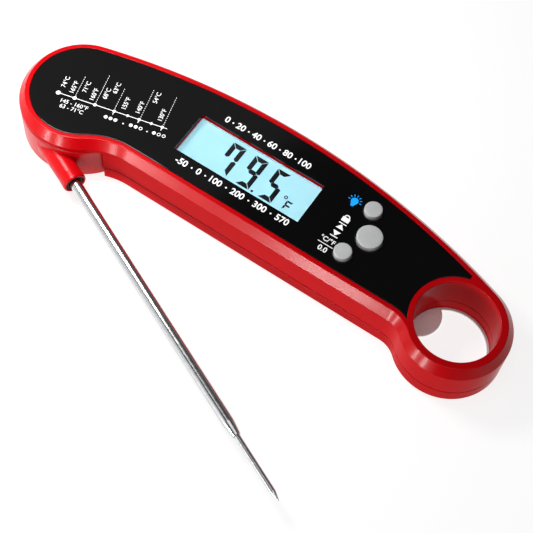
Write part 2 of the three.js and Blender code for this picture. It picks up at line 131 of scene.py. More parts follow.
def circle(cx, cy, r, steps=128):
    return arc(cx, cy, r, 0, 2 * math.pi, steps, whole=False)


def rounded(points, closed=True, steps=5):
    """A polyline whose corners (x, y, radius) are rounded; a corner without a radius stays sharp."""
    out = []
    last = len(points) - 1
    for i, (x, y, *radius) in enumerate(points):
        if not radius or (not closed and i in (0, last)):
            out.append((x, y))
            continue
        p = Vector((x, y))
        to_a = Vector(points[i - 1][:2]) - p
        to_b = Vector(points[(i + 1) % len(points)][:2]) - p
        half = to_a.angle(to_b) / 2
        reach = min(radius[0] / math.tan(half), 0.49 * to_a.length, 0.49 * to_b.length)
        r = reach * math.tan(half)
        middle = p + (to_a.normalized() + to_b.normalized()).normalized() * (r / math.sin(half))
        start = p + to_a.normalized() * reach - middle
        end = p + to_b.normalized() * reach - middle
        a0 = math.atan2(start.y, start.x)
        turn = (math.atan2(end.y, end.x) - a0 + math.pi) % (2 * math.pi) - math.pi
        out += arc(middle.x, middle.y, r, a0, a0 + turn, steps)
    return out


def box_points(x0, x1, y0, y1):
    return [(x0, y0), (x1, y0), (x1, y1), (x0, y1)]


def rounded_box(x0, x1, y0, y1, r, steps=6):
    return rounded([(x, y, r) for x, y in box_points(x0, x1, y0, y1)], steps=steps)


def top_centre():
    """Centre of the long upper arc, which runs smoothly into both end circles."""
    (x1, y1), (x2, y2) = PIVOT, RING
    ra, rb = TOP_R - PIVOT_R, TOP_R - RING_R
    d = math.hypot(x2 - x1, y2 - y1)
    a = (ra * ra - rb * rb + d * d) / (2 * d)
    h = math.sqrt(ra * ra - a * a)
    ux, uy = (x2 - x1) / d, (y2 - y1) / d
    return x1 + a * ux + h * uy, y1 + a * uy - h * ux


def fillet_centre(end, end_r, r, side):
    """Centre of a hollow arc of radius r that touches an end circle and the straight lower edge."""
    y = LOWER_Y - r
    return end[0] + side * math.sqrt((end_r + r) ** 2 - (y - end[1]) ** 2), y


TOP = top_centre()
NECK = fillet_centre(PIVOT, PIVOT_R, NECK_R, 1)
HEEL = fillet_centre(RING, RING_R, HEEL_R, -1)


def outline(d):
    """The handle's outline moved inwards by d, counter-clockwise."""
    heel_end = math.atan2(RING[1] - HEEL[1], RING[0] - HEEL[0])
    neck_start = math.atan2(PIVOT[1] - NECK[1], PIVOT[0] - NECK[0])
    top_start = math.atan2(RING[1] - TOP[1], RING[0] - TOP[0])
    top_end = math.atan2(PIVOT[1] - TOP[1], PIVOT[0] - TOP[0])
    lower = [(NECK[0] + (HEEL[0] - NECK[0]) * k / 12, LOWER_Y + d) for k in range(1, 12)]
    return (
        arc(*HEEL, HEEL_R + d, math.pi / 2, heel_end, 16, whole=False)
        + arc(*RING, RING_R - d, heel_end - math.pi, top_start, 80, whole=False)
        + arc(*TOP, TOP_R - d, top_start, top_end, 48, whole=False)
        + arc(*PIVOT, PIVOT_R - d, top_end, neck_start + math.pi, 90, whole=False)
        + arc(*NECK, NECK_R + d, neck_start, math.pi / 2, 20)
        + lower
    )


# ---- solids

RIM_STEPS = 4


def mesh_object(name, verts, faces):
    """A new object from bare mesh data, with its faces turned outwards."""
    mesh = bpy.data.meshes.new(name)
    mesh.from_pydata(verts, [], faces)
    bm = bmesh.new()
    bm.from_mesh(mesh)
    bmesh.ops.recalc_face_normals(bm, faces=bm.faces)
    bm.to_mesh(mesh)
    bm.free()
    obj = bpy.data.objects.new(name, mesh)
    bpy.context.scene.collection.objects.link(obj)
    return obj


def loft(levels):
    """A closed solid through stacked outlines (points, z) with equal counts of points."""
    n = len(levels[0][0])
    verts = [(x, y, z) for points, z in levels for x, y in points]
    faces = []
    for k in range(len(levels) - 1):
        for i in range(n):
            j = (i + 1) % n
            faces.append((k * n + i, k * n + j, (k + 1) * n + j, (k + 1) * n + i))
    faces.append(tuple(reversed(range(n))))
    faces.append(tuple(range((len(levels) - 1) * n, len(levels) * n)))
    return mesh_object("solid", verts, faces)


def prism(points, z0, z1):
    return loft([(points, z0), (points, z1)])


def turned(profile, centre=(0, 0), steps=96):
    """A profile of (radius, height) turned about Z; it starts and ends on the axis, or closes on itself."""
    on_axis = profile[0][0] == 0
    rim = profile[1:-1] if on_axis else profile
    rows = len(rim)
    cx, cy = centre
    verts, faces = [], []
    for r, z in rim:
        verts += [(x, y, z) for x, y in circle(cx, cy, r, steps)]
    for k in range(rows - 1 if on_axis else rows):
        for i in range(steps):
            j = (i + 1) % steps
            m = (k + 1) % rows
            faces.append((k * steps + i, k * steps + j, m * steps + j, m * steps + i))
    if on_axis:
        for row, (_, z) in ((0, profile[0]), (rows - 1, profile[-1])):
            pole = len(verts)
            verts.append((cx, cy, z))
            faces += [(row * steps + i, row * steps + (i + 1) % steps, pole) for i in range(steps)]
    return mesh_object("solid", verts, faces)


def rod(cx, cy, r, z0, z1, steps=96):
    return prism(circle(cx, cy, r, steps), z0, z1)


def pipe(cx, cy, r_out, r_in, z0, z1, steps):
    """A ring with a square section, standing between two heights."""
    return turned([(r_in, z0), (r_out, z0), (r_out, z1), (r_in, z1)], (cx, cy), steps)


def lip(r, z, flare):
    """Rows (radius, height) of a hole's rounded rim at height z, carried on a little past it."""
    rows = []
    for k in range(RIM_STEPS + 1):
        t = math.pi / 2 * k / RIM_STEPS
        rows.append((r + flare * (1 - math.cos(t)), z - flare + flare * math.sin(t)))
    return rows + [(rows[-1][0] + 0.001, z + 1)]


def hole(cx, cy, r, z0, z1, flare, steps=96):
    """A cutter for a round hole that comes out at z1 with its rim rounded by flare."""
    rows = [(r, z0)] + lip(r, z1, flare)
    return loft([(circle(cx, cy, row_r, steps), z) for row_r, z in rows])


def seat(cx, cy, r, depth, flare, steps=96):
    """A cutter for a round seat sunk into the flat back, with its rim rounded by flare."""
    rows = [(row_r, -z) for row_r, z in reversed(lip(r, 0, flare))] + [(r, depth)]
    return loft([(circle(cx, cy, row_r, steps), z) for row_r, z in rows])


def applied(obj):
    """Turns an object's modifiers into its mesh."""
    depsgraph = bpy.context.evaluated_depsgraph_get()
    mesh = bpy.data.meshes.new_from_object(obj.evaluated_get(depsgraph))
    obj.modifiers.clear()
    old, obj.data = obj.data, mesh
    bpy.data.meshes.remove(old)
    return obj


def combine(base, others, how):
    """Cuts or adds each of the other solids, which are used up."""
    for other in others:
        step = base.modifiers.new("combine", "BOOLEAN")
        step.operation, step.solver, step.object = how, "MANIFOLD", other
        applied(base)
        bpy.data.objects.remove(other)
    return base


def cut(base, *cutters):
    """Takes the cutters out of a solid."""
    return combine(base, cutters, "DIFFERENCE")


def add(base, *others):
    """Fuses other solids onto one."""
    return combine(base, others, "UNION")


def joined(parts, name):
    """Several solids that don't touch, as one mesh."""
    bm = bmesh.new()
    for part in parts:
        part.data.transform(part.matrix_world)
        bm.from_mesh(part.data)
        bpy.data.objects.remove(part)
    mesh = bpy.data.meshes.new(name)
    bm.to_mesh(mesh)
    bm.free()
    obj = bpy.data.objects.new(name, mesh)
    bpy.context.scene.collection.objects.link(obj)
    return obj


def along_probe(obj):
    """Lays a solid made along +Z on the probe's axis, its zero at the point nearest the fold axis."""
    a = math.radians(PROBE_ANGLE)
    foot = Vector((PIVOT[0] + AXIS_OFF * math.sin(a), PIVOT[1] - AXIS_OFF * math.cos(a), AXIS_Z))
    turn = Matrix.Rotation(a, 4, "Z") @ Matrix.Rotation(math.pi / 2, 4, "Y")
    obj.data.transform(Matrix.Translation(foot) @ turn)
    return obj


def finish_piece(obj, name, body, material, replaces=(), sharp=32):
    """Scales a piece to metres, gives it clean shading, and ties it to its body and CAD nodes."""
    obj.name = name
    bm = bmesh.new()
    bm.from_mesh(obj.data)
    bmesh.ops.remove_doubles(bm, verts=bm.verts, dist=0.002)
    bmesh.ops.dissolve_degenerate(bm, edges=bm.edges, dist=0.001)
    bm.to_mesh(obj.data)
    bm.free()
    obj.data.transform(Matrix.Scale(MM, 4))
    obj.data.polygons.foreach_set("use_smooth", [True] * len(obj.data.polygons))
    obj.data.set_sharp_from_angle(angle=math.radians(sharp))
    weights = obj.modifiers.new("normals", "WEIGHTED_NORMAL")
    weights.keep_sharp = True
    applied(obj)
    obj.data.materials.clear()
    obj.data.materials.append(material)
    obj.data.name = name
    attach(obj, body)
    if replaces:
        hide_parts(*replaces)
    return obj


# ---- materials


def shader(name, **sockets):
    """A new material with the given values set on its Principled shader."""
    material = bpy.data.materials.new(name)
    material.use_nodes = True
    node = material.node_tree.nodes["Principled BSDF"]
    for key, value in sockets.items():
        node.inputs[key.replace("_", " ")].default_value = value
    return material, material.node_tree, node


def noise(tree, scale, detail=3.0, stretch=None):
    """Noise in the piece's own space, drawn out along the axes where stretch is small."""
    coordinates = tree.nodes.new("ShaderNodeTexCoord").outputs["Object"]
    if stretch:
        mapping = tree.nodes.new("ShaderNodeMapping")
        mapping.inputs["Scale"].default_value = stretch
        tree.links.new(coordinates, mapping.inputs["Vector"])
        coordinates = mapping.outputs["Vector"]
    texture = tree.nodes.new("ShaderNodeTexNoise")
    texture.inputs["Scale"].default_value = scale
    texture.inputs["Detail"].default_value = detail
    tree.links.new(coordinates, texture.inputs["Vector"])
    return texture.outputs["Fac"]


def tones(tree, value, dark, light):
    """A colour running from dark to light over the middle of the value's range."""
    ramp = tree.nodes.new("ShaderNodeValToRGB")
    for element, place, colour in zip(ramp.color_ramp.elements, (0.35, 0.65), (dark, light)):
        element.position = place
        element.color = (*colour, 1)
    tree.links.new(value, ramp.inputs["Fac"])
    return ramp.outputs["Color"]


def between(tree, value, low, high, start=0.3, end=0.7):
    """A number running from low to high while the value goes from start to end."""
    span = tree.nodes.new("ShaderNodeMapRange")
    span.inputs["From Min"].default_value, span.inputs["From Max"].default_value = start, end
    span.inputs["To Min"].default_value, span.inputs["To Max"].default_value = low, high
    tree.links.new(value, span.inputs["Value"])
    return span.outputs["Result"]


def bump(tree, node, height, distance):
    """Roughens the surface by a height texture, distance metres deep."""
    bumps = tree.nodes.new("ShaderNodeBump")
    bumps.inputs["Distance"].default_value = distance
    tree.links.new(height, bumps.inputs["Height"])
    tree.links.new(bumps.outputs["Normal"], node.inputs["Normal"])


def moulded(name, dark, light, rough, grain=900, depth=0.000004, mottle=60, **sockets):
    """Moulded plastic or rubber: faint colour mottling, patchy gloss and a fine surface grain."""
    material, tree, node = shader(name, **sockets)
    patches = noise(tree, mottle)
    tree.links.new(tones(tree, patches, dark, light), node.inputs["Base Color"])
    tree.links.new(between(tree, patches, *rough), node.inputs["Roughness"])
    bump(tree, node, noise(tree, grain, 2.0), depth)
    return material


def matt_sides(material, sides, faces):
    """Lowers the gloss where the surface stands upright, as on a moulding with finely etched side walls."""
    tree = material.node_tree
    split = tree.nodes.new("ShaderNodeSeparateXYZ")
    tree.links.new(tree.nodes.new("ShaderNodeTexCoord").outputs["Normal"], split.inputs["Vector"])
    lean = tree.nodes.new("ShaderNodeMath")
    lean.operation = "ABSOLUTE"
    tree.links.new(split.outputs["Z"], lean.inputs[0])
    level = between(tree, lean.outputs["Value"], sides, faces, start=0.15, end=0.5)
    tree.links.new(level, tree.nodes["Principled BSDF"].inputs["Specular IOR Level"])


def metal(name, dark, light, rough, stretch=(1, 1, 1), scale=400, depth=0.000003, **sockets):
    """Drawn, brushed or plated metal, its marks drawn out along the axes where stretch is small."""
    material, tree, node = shader(name, **{"Metallic": 1.0, **sockets})
    lines = noise(tree, scale, 4.0, stretch)
    tree.links.new(tones(tree, lines, dark, light), node.inputs["Base Color"])
    tree.links.new(between(tree, lines, *rough), node.inputs["Roughness"])
    bump(tree, node, lines, depth)
    return material


RED = moulded("red_plastic", (0.50, 0.0, 0.002), (0.54, 0.001, 0.004), (0.19, 0.24), Coat_Weight=0.04,
              Coat_Roughness=0.1)
matt_sides(RED, sides=0.01, faces=0.18)
RED_ARM = moulded("red_arm_plastic", (0.54, 0.001, 0.004), (0.58, 0.002, 0.006), (0.24, 0.30),
                  Specular_IOR_Level=0.2, Coat_Weight=0.04, Coat_Roughness=0.15)
BLACK_GLOSS = moulded("label_black_gloss", (0.0008, 0.0008, 0.0008), (0.0014, 0.0014, 0.0014), (0.09, 0.13),
                      grain=1500, depth=0.000001, mottle=25)
# white print ink with a faint painted glow, so that it stays bright where the face is in shade
PRINT_WHITE_PAINTED_GLOW = moulded("print_white_painted_glow", (0.84, 0.84, 0.84), (0.92, 0.92, 0.92), (0.40, 0.50), mottle=900,
                      Emission_Color=(1, 1, 1, 1), Emission_Strength=0.3)
# blue print ink with the same faint painted glow
PRINT_BLUE_PAINTED_GLOW = moulded("print_blue_painted_glow", (0.0, 0.32, 0.95), (0.01, 0.38, 1.0), (0.35, 0.45), mottle=900,
                     Emission_Color=(0.0, 0.30, 0.9, 1), Emission_Strength=0.35)
LCD_LIGHT = moulded("display_light", (0.28, 0.56, 0.62), (0.31, 0.59, 0.65), (0.22, 0.28), grain=2500,
                    mottle=30, Emission_Color=(0.47, 0.82, 0.96, 1), Emission_Strength=0.62)
LCD_INK = moulded("display_ink", (0.001, 0.001, 0.002), (0.003, 0.003, 0.004), (0.30, 0.40), mottle=900)
CLEAR = moulded("window_polycarbonate", (0.96, 0.99, 1.0), (0.98, 1.0, 1.0), (0.015, 0.03), grain=300,
                depth=0.0000005, Transmission_Weight=1.0, IOR=1.25)
GREY_RUBBER = moulded("button_grey_rubber", (0.52, 0.525, 0.53), (0.57, 0.575, 0.58), (0.50, 0.62),
                      grain=2600, depth=0.00001, mottle=300)
BLACK_RUBBER = moulded("black_rubber_skin", (0.010, 0.010, 0.011), (0.020, 0.020, 0.021), (0.65, 0.8),
                       grain=2200, depth=0.00001, mottle=300)
WHITE_PLASTIC = moulded("white_moulding", (0.74, 0.74, 0.71), (0.80, 0.80, 0.77), (0.45, 0.55))
CHIP_BLACK = moulded("chip_epoxy", (0.012, 0.012, 0.013), (0.022, 0.022, 0.023), (0.5, 0.6), grain=3000,
                     depth=0.000006)
LEAD_RED = moulded("lead_sleeve", (0.42, 0.03, 0.02), (0.50, 0.05, 0.03), (0.4, 0.5), grain=1500)
CERAMIC = moulded("sensor_glaze", (0.55, 0.56, 0.55), (0.64, 0.65, 0.64), (0.3, 0.4))
REED_GLASS = moulded("reed_tube_glass", (0.70, 0.80, 0.80), (0.78, 0.86, 0.86), (0.05, 0.1),
                     Transmission_Weight=0.7, IOR=1.45)
PROBE_STEEL = metal("probe_steel_drawn", (0.60, 0.61, 0.62), (0.68, 0.69, 0.70), (0.17, 0.23),
                    stretch=(0.35, 1.0, 1.0), scale=1600, depth=0.0000003)
PLATE_STEEL = metal("opener_steel_brushed", (0.84, 0.85, 0.85), (0.90, 0.91, 0.91), (0.40, 0.50),
                    stretch=(0.12, 1.0, 1.0), scale=2600, depth=0.000004, Metallic=0.2)
NICKEL = metal("nickel_plate", (0.66, 0.65, 0.62), (0.74, 0.73, 0.70), (0.16, 0.26), scale=700)
BRASS = metal("turned_brass", (0.62, 0.42, 0.14), (0.72, 0.50, 0.19), (0.22, 0.34), stretch=(1, 1, 6))
MAGNET_GREY = metal("magnet_plate", (0.45, 0.46, 0.48), (0.55, 0.56, 0.58), (0.25, 0.4))


def board_material():
    """Solder mask with the faint lines of the copper under it."""
    material, tree, node = shader("solder_mask", Coat_Weight=0.3)
    bricks = tree.nodes.new("ShaderNodeTexBrick")
    coordinates = tree.nodes.new("ShaderNodeTexCoord").outputs["Object"]
    tree.links.new(coordinates, bricks.inputs["Vector"])
    bricks.inputs["Scale"].default_value = 350
    bricks.inputs["Mortar Size"].default_value = 0.06
    bricks.inputs["Color1"].default_value = (0.010, 0.085, 0.035, 1)
    bricks.inputs["Color2"].default_value = (0.012, 0.105, 0.042, 1)
    bricks.inputs["Mortar"].default_value = (0.030, 0.17, 0.07, 1)
    tree.links.new(bricks.outputs["Color"], node.inputs["Base Color"])
    tree.links.new(between(tree, noise(tree, 300), 0.35, 0.5), node.inputs["Roughness"])
    bump(tree, node, bricks.outputs["Fac"], 0.00002)
    return material


BOARD_GREEN = board_material()

# ---- shells


def shell_cavity(z0, z1):
    """The room inside, kept clear of the hub's pocket and of the solid land round the finger hole."""
    room = prism(outline(WALL), z0, z1)
    pocket = rod(*PIVOT, POCKET_R + POCKET_WALL, z0 - 1, z1 + 1)
    return cut(room, pocket, rod(*RING, RING_LAND_R, z0 - 1, z1 + 1))


def neck_trim():
    """The thin end of the lower wall beside the hub, which the shells leave off."""
    area = box_points(NECK_EDGE_X - 12, NECK_EDGE_X, LOWER_Y - 9, LOWER_Y + 1.9)
    return prism(area, -1, ROOF_Z)


def rows_past(rows):
    """The same rows, run on below and above so that a cutter made of them leaves no skin."""
    return [(rows[0][0], rows[0][1] - 1)] + rows + [(rows[-1][0], rows[-1][1] + 1)]


def panel_solid(rows, end_x):
    """The label panel's shape through rows of (distance inside its edge, height)."""
    blank = loft([(outline(PANEL_INSET + d), z) for d, z in rows])
    ring = loft([(circle(*RING, PANEL_RING_R + d), z) for d, z in rows_past(rows)])
    beyond = prism(box_points(end_x, FAR_X, -FAR_Y, FAR_Y), rows[0][1] - 1, rows[-1][1] + 1)
    return cut(blank, ring, beyond)


def front_shell():
    """The upper shell: bevelled edge, seat of the label panel, openings, and pillars for the screws."""
    profile = rounded(
        [
            (SHELL_IN, PARTING), (0.0, PARTING, 0.15), (0.0, THICK - BEVEL_H, 0.45), (BEVEL_IN, THICK, 0.35),
            (SHELL_IN, THICK),
        ],
        closed=False,
    )
    shell = loft([(outline(d), z) for d, z in profile])
    cut(shell, shell_cavity(PARTING - 1, PLATE_Z))
    cut(shell, rod(*PIVOT, POCKET_R, -2, ROOF_Z, 160))
    cut(shell, neck_trim())
    cut(shell, hole(*RING, HOLE_R, 0, THICK, 0.3, steps=128))
    rim = [(-SEAT_PLAY - d, z) for d, z in lip(0.0, THICK, SEAT_PLAY)]
    cut(shell, panel_solid([(-SEAT_PLAY, THICK - PANEL_T - GAP)] + rim, PANEL_END_X + SEAT_PLAY))
    cut(shell, prism(box_points(*WINDOW), PLATE_Z - 1, THICK + 1))
    for node, r in BUTTONS.items():
        cut(shell, rod(*centre_mm(node), r + GAP, PLATE_Z - 1, THICK + 1, 64))
    for node in SCREW_NODES:
        add(shell, rod(*centre_mm(node), SCREW_BOSS_R, PARTING, PLATE_Z + ROOT, 48))
        cut(shell, rod(*centre_mm(node), SCREW_BORE_R, PARTING - 1, SCREW_BORE_END, 32))
    add(shell, rod(*PIVOT, PIVOT_BOSS_R, PIVOT_BOSS_Z, ROOF_Z + ROOT, 64))
    cut(shell, rod(*PIVOT, SCREW_BORE_R, 3, PIVOT_BORE_END, 32))
    return finish_piece(shell, "front_shell_moulding", "handle", RED, ["front_shell"])


def sector(turn, r_out, r_in, z0, z1, width):
    """A block between two radii about the battery axis."""
    c, h = math.radians(turn), math.radians(width / 2)
    points = arc(*CELL, r_out, c - h, c + h, 12) + arc(*CELL, r_in, c + h, c - h, 12)
    return prism(points, z0, z1)


def cut_battery_well(shell):
    """Raised pad, seal groove and bayonet opening with a notch for each lug of the door."""
    add(shell, rod(*CELL, 15.4, 0.8, 3.0))
    cut(shell, seat(*CELL, DOOR_R + GAP, 1.0, 0.2))
    cut(shell, cut(rod(*CELL, 13.75, 0.5, 1.95), rod(*CELL, 12.45, 0, 3)))
    cut(shell, rod(*CELL, DOOR_NECK_R + GAP, -1, 4))
    for turn in LUG_TURNS:
        cut(shell, sector(turn + DOOR_OPEN_TURN, LUG_R + GAP, LUG_ROOT_R, 0.5, 4, LUG_WIDTH + 6))


def cut_turning_marks(shell):
    """Sunk marks beside the battery door: a dot for shut and a ring for open."""
    for turn, r_in in ((90, None), (150, 0.45)):
        at = polar(*CELL, 16.6, math.radians(turn))
        mark = rod(*at, 0.8, -1, MARK_DEPTH, 32)
        if r_in:
            cut(mark, rod(*at, r_in, -2, 1, 32))
        cut(shell, mark)


def back_shell():
    """The lower shell, with the seats of the door, the opener plate, the magnets and the screws."""
    profile = rounded(
        [(SHELL_IN, 0.0), (0.7, 0.0, 0.5), (0.0, 0.7, 0.5), (0.0, BACK_TOP, 0.15), (SHELL_IN, BACK_TOP)],
        closed=False,
    )
    shell = loft([(outline(d), z) for d, z in profile])
    cut(shell, shell_cavity(FLOOR_T, BACK_TOP + 1))
    cut(shell, rod(*PIVOT, POCKET_R, -1, BACK_TOP + 1, 160))
    cut(shell, neck_trim())
    cut(shell, rod(*RING, HOLE_R, -1, BACK_TOP + 1, 128))
    cut_battery_well(shell)
    cut(shell, seat(*RING, PLATE_R + GAP, PLATE_SEAT, 0.15, steps=128))
    cut(shell, seat(*TONGUE_AT, TONGUE_R + GAP, PLATE_SEAT, 0.15))
    for node in RIVET_NODES:
        cut(shell, rod(*centre_mm(node), RIVET_R + GAP, 0, 4.0, 32))
    for node in MAGNET_NODES:
        cut(shell, rod(*centre_mm(node), MAGNET_R + GAP, 0.8, FLOOR_T + 1, 64))
    for node in SCREW_NODES:
        add(shell, rod(*centre_mm(node), 3.4, 0.2, BACK_TOP, 48))
        cut(shell, seat(*centre_mm(node), SCREW_HEAD_R + GAP, 1.5, 0.25, steps=64))
        cut(shell, rod(*centre_mm(node), SCREW_BORE_R, -1, BACK_TOP + 1, 32))
    cut_turning_marks(shell)
    return finish_piece(shell, "back_shell_moulding", "handle", RED, ["back_shell"])


def label_panel():
    """The black sheet let into the face, open over the display and the buttons."""
    edge = 0.1
    z0 = THICK - PANEL_T
    rows = [(0.0, z0), (0.0, THICK - edge), (edge * 0.3, THICK - edge * 0.3), (edge, THICK)]
    panel = panel_solid(rows, PANEL_END_X)
    cut(panel, prism(rounded_box(*WINDOW, 0.15, 3), z0 - 1, THICK + 1))
    for node, r in BUTTONS.items():
        cut(panel, hole(*centre_mm(node), r + GAP, z0 - 1, THICK, edge, steps=64))
    return finish_piece(panel, "label_panel_sheet", "handle", BLACK_GLOSS, ["label_panel"])


# ---- hinge, arm and probe


def arm_body():
    """The hub, hollow on top for the lead, with the arm leaving it along the probe."""
    cap_seat_r = HUB_CORE_R + GAP
    hub = turned(
        rounded(
            [
                (BUSH_R, 4.0), (cap_seat_r, 4.0), (cap_seat_r, HUB_Z0, 0.2), (PIVOT_R, HUB_Z0, 0.7),
                (PIVOT_R, HUB_Z1, 1.1), (HUB_RIM_R, HUB_Z1), (HUB_RIM_R, HUB_FLOOR_Z),
                (HUB_CORE_R, HUB_FLOOR_Z), (HUB_CORE_R, HUB_Z1), (7.4, HUB_Z1), (7.4, 11.6), (6.2, 11.6),
                (6.2, HUB_Z1), (BUSH_R, HUB_Z1),
            ]
        ),
        PIVOT,
        steps=192,
    )
    bead_r = ARM_R + 0.1
    arm = turned(
        rounded(
            [
                (0, -2), (bead_r, -2), (bead_r, 12, 20), (ARM_R, ARM_END - 3.2, 4),
                (bead_r, ARM_END - 0.9, 0.8), (ARM_R, ARM_END, 0.5), (0, ARM_END),
            ],
            closed=False,
        ),
        steps=72,
    )
    add(hub, along_probe(arm))
    cut(hub, cut(rod(*PIVOT, HUB_RIM_R, HUB_FLOOR_Z, 14, 192), rod(*PIVOT, HUB_CORE_R, 4, 15, 96)))
    cut(hub, along_probe(rod(0, 0, TUBE_R + GAP, -4, ARM_END + 1, 48)))
    cut(hub, along_probe(hole(0, 0, MOUTH_R, ARM_END - 2.4, ARM_END, 0.3, steps=64)))
    return finish_piece(hub, "arm_moulding", "probe_arm", RED_ARM, ["arm_body"])


def hub_cap():
    """The disc over the hinge screw on the back, with a fine ring sunk into it."""
    z0, z1 = 0.25, 1.4
    profile = rounded([(0, z0), (HUB_CORE_R, z0, 0.4), (HUB_CORE_R, z1, 0.1), (0, z1)], closed=False)
    cap = turned(profile, PIVOT)
    cut(cap, cut(rod(*PIVOT, 6.3, -1, z0 + 0.2), rod(*PIVOT, 5.9, -2, 1)))
    return finish_piece(cap, "hub_cap_disc", "probe_arm", RED_ARM, ["hub_cap"])


def probe_collar():
    """The rubber ring that closes the arm's mouth round the probe."""
    r_in, r_out = 2.02, 2.6
    z0 = ARM_END - 2.1
    profile = rounded(
        [
            (r_in, z0), (r_out, z0), (r_out, ARM_END - 0.55, 0.2), (2.3, ARM_END - 0.2, 0.2),
            (r_in, ARM_END - 0.4, 0.1),
        ]
    )
    collar = along_probe(turned(profile, steps=64))
    name = "probe_collar_ring"
    return finish_piece(collar, name, "probe_arm", BLACK_RUBBER, ["probe_collar"])


def probe_tube():
    """The drawn tube, tapering down onto the needle."""
    neck_r = NEEDLE_R + 0.16
    profile = rounded(
        [
            (TUBE_BORE_R, 2.0), (TUBE_R, 2.0, 0.1), (TUBE_R, TAPER_START, 3.0),
            (NEEDLE_R + 0.36, TAPER_END, 1.2), (neck_r, TAPER_END + 0.02), (neck_r, TAPER_START - 0.6),
            (TUBE_BORE_R, TAPER_START - 1.6),
        ],
        steps=8,
    )
    tube = along_probe(turned(profile, steps=64))
    return finish_piece(tube, "probe_tube_drawn", "probe_arm", PROBE_STEEL, ["probe_tube"])


def probe_tip():
    """The pointed needle, bored from behind for the sensor."""
    start = TAPER_START - 0.4
    bore = [(0.0, TIP_END - 3.2), (NEEDLE_BORE_R, TIP_END - 3.6)]
    skin = rounded(
        [
            (NEEDLE_BORE_R, start), (NEEDLE_R, start, 0.1), (NEEDLE_R, TIP_END - 2.6, 3.0),
            (0.12, TIP_END - 0.08, 0.1), (0.0, TIP_END),
        ],
        closed=False,
        steps=8,
    )
    tip = along_probe(turned(bore + skin, steps=48))
    return finish_piece(tip, "probe_needle", "probe_arm", PROBE_STEEL, ["probe_tip"])


# ---- battery door, fasteners, opener


def coin_slot():
    """A cutter for the slot that a coin turns, with its rim rounded."""
    cx, cy = CELL
    rows = [(-0.35, 0.06 - 1), (-0.25, 0.06), (-0.07, 0.18), (0.0, 0.35), (0.0, 0.75)]
    return loft([(rounded_box(cx - 7 + d, cx + 7 - d, cy - 1.1 + d, cy + 1.1 - d, 1.0), z) for d, z in rows])


def door_marks():
    """Cutters for an arc with an arrow head in the turning direction, and for a dot at the rim."""
    cx, cy = CELL
    a0, a1 = math.radians(25), math.radians(62)
    band = arc(cx, cy, 9.6, a0, a1, 16) + arc(cx, cy, 8.9, a1, a0, 16)
    arrow = [polar(cx, cy, r, a1 + t) for r, t in ((10.2, 0.0), (9.25, 0.16), (8.3, 0.0))]
    return [
        prism(band, -1, MARK_DEPTH),
        prism(arrow, -1, MARK_DEPTH),
        rod(cx, cy + 12.4, 0.6, -1, MARK_DEPTH, 32),
    ]


def battery_door():
    """The bayonet door: a flange, a neck with two lugs, a coin slot and sunk marks."""
    profile = rounded(
        [
            (0, 0.05), (DOOR_R, 0.05, 0.35), (DOOR_R, 0.7), (DOOR_NECK_R, 0.7), (DOOR_NECK_R, DOOR_END_Z),
            (DOOR_BORE_R, DOOR_END_Z), (DOOR_BORE_R, 1.35), (0, 1.35),
        ],
        closed=False,
    )
    door = turned(profile, CELL, 128)
    for turn in LUG_TURNS:
        add(door, sector(turn, LUG_R, LUG_ROOT_R, 3.3, DOOR_END_Z, LUG_WIDTH))
    cut(door, coin_slot())
    cut(door, *door_marks())
    return finish_piece(door, "battery_door_moulding", "battery_door", RED, ["battery_door"])


def cross_recess(x, y, reach, width, z0, z1):
    """A tapered cross recess, wider at z0 where it opens."""
    arms = []
    for along_x in (True, False):
        rows = []
        for z, k in ((z0, 1.0), (z1, 0.72)):
            hx, hy = (reach * k, width * k) if along_x else (width * k, reach * k)
            rows.append((rounded_box(x - hx, x + hx, y - hy, y + hy, width * k * 0.6, 4), z))
        arms.append(loft(rows))
    return arms


def shell_screws():
    """The four screws that hold the shells together, with a cross recess in each head."""
    profile = rounded(
        [
            (0, 0.2), (SCREW_HEAD_R, 0.2, 0.45), (SCREW_HEAD_R, 1.2, 0.1), (SCREW_R, 1.2, 0.15),
            (SCREW_R, 11.2), (0, 11.8),
        ],
        closed=False,
    )
    for node in SCREW_NODES:
        x, y = centre_mm(node)
        screw = turned(profile, (x, y), 64)
        cut(screw, *cross_recess(x, y, 1.45, 0.34, -0.1, 0.9))
        name = node.replace("screw", "screw_cross_head")
        finish_piece(screw, name, "handle", NICKEL, [node])


def hole_edge(z0, z1, edge):
    """Rows (widening, height) of a hole's wall with both its rims rounded."""
    rows = []
    for k in range(RIM_STEPS + 1):
        t = math.pi / 2 * k / RIM_STEPS
        rows.append((edge * (1 - math.sin(t)), z0 + edge * (1 - math.cos(t))))
    return rows + [(d, z0 + z1 - z) for d, z in reversed(rows)]


def opener_plate():
    """The steel plate under the ring: a flat washer with a tongue reaching into the finger hole."""
    z0, z1, edge = 0.08, 0.75, 0.12
    rim = rounded([(-1.0, z0), (0.0, z0, edge), (0.0, z1, edge), (-1.0, z1)], closed=False)
    plate = loft([(circle(*RING, PLATE_R + d), z) for d, z in rim])
    wide = edge + 0.001
    bore = [(wide, z0 - 1)] + hole_edge(z0, z1, edge) + [(wide, z1 + 1)]
    cut(plate, loft([(circle(*RING, PLATE_HOLE_R + d), z) for d, z in bore]))
    add(plate, loft([(circle(*TONGUE_AT, TONGUE_R + d), z) for d, z in rim]))
    for node in RIVET_NODES:
        sink = turned([(0, -0.3), (2.4, -0.3), (1.05, 0.95), (1.05, 1.2), (0, 1.2)], centre_mm(node), 48)
        cut(plate, sink)
    name = "opener_plate_stamping"
    return finish_piece(plate, name, "handle", PLATE_STEEL, ["opener_plate"])


